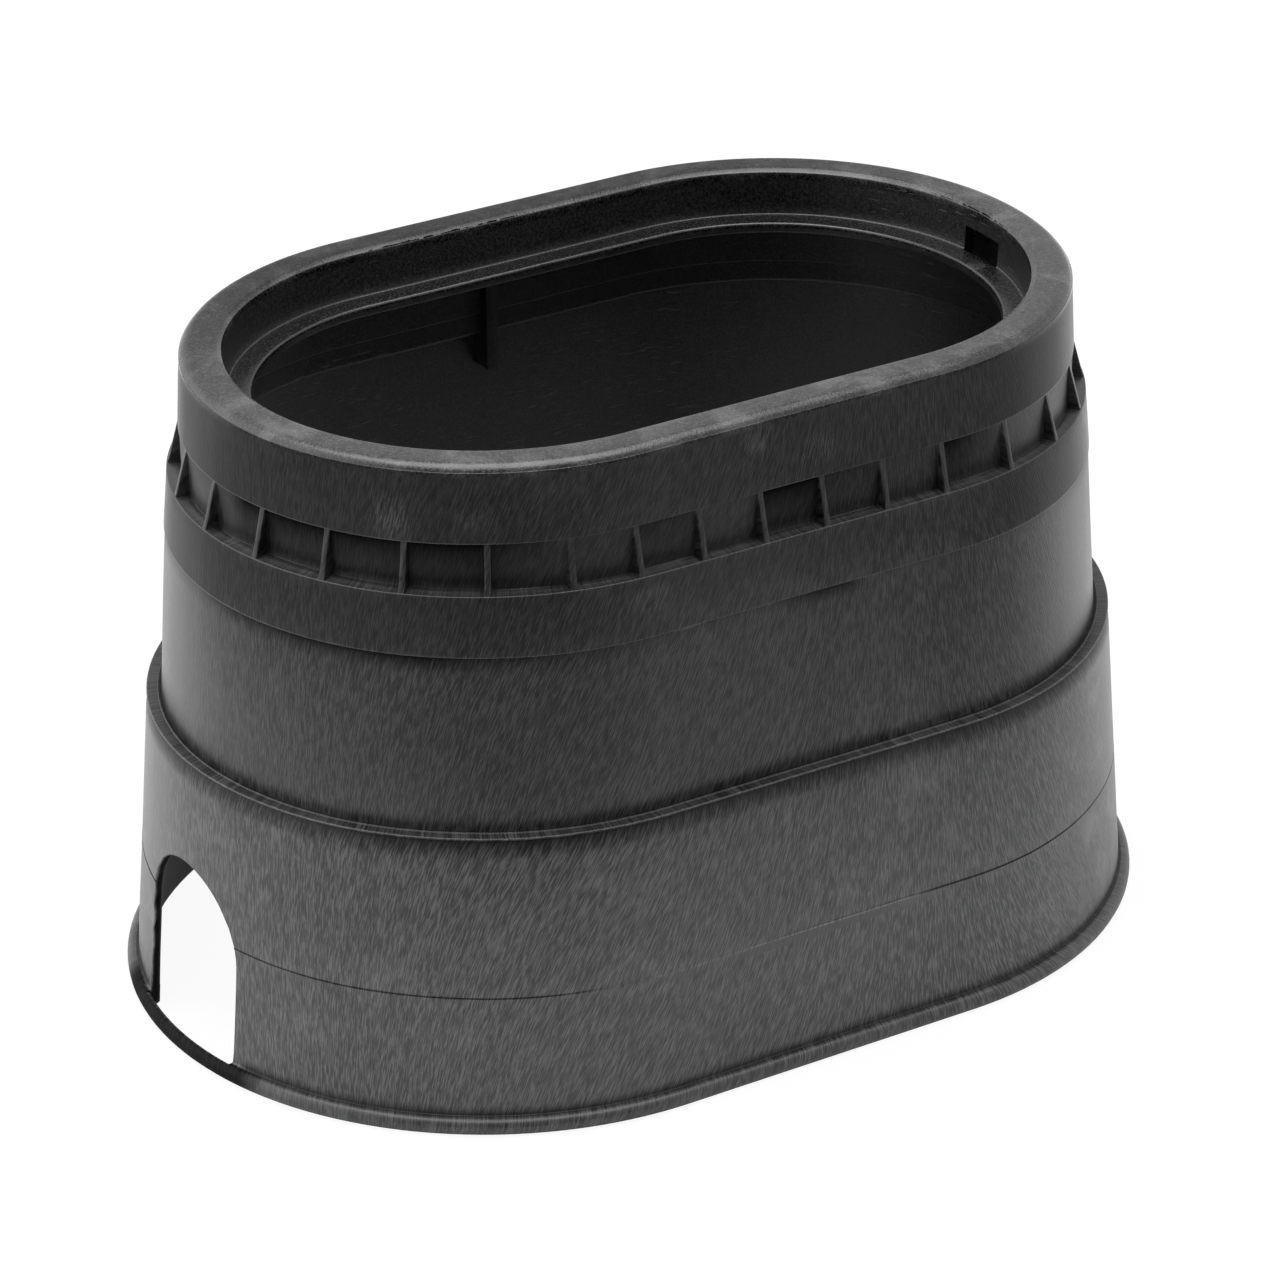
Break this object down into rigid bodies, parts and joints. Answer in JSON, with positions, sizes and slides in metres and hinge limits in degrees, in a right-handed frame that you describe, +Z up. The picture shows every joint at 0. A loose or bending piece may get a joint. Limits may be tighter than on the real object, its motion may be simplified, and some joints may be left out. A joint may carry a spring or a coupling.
{
  "type": "irrigation valve box",
  "caption": "Oval tapered plastic valve box body, open at top and bottom, with a hollow lid rim on gussets, a stepped skirt and arched pipe cut-outs in its ends.",
  "frame": {"origin": "middle of the open foot, on the ground plane", "axes": "+Z up from the foot to the lid rim, +X along the long side of the oval"},
  "size_m": [0.4918, 0.3398, 0.305],
  "materials": {
    "black_plastic": "matte black moulded polyethylene with a fine drawn grain"
  },
  "bodies": {
    "root": {"valve_box_body": "black_plastic"}
  },
  "joints": []
}
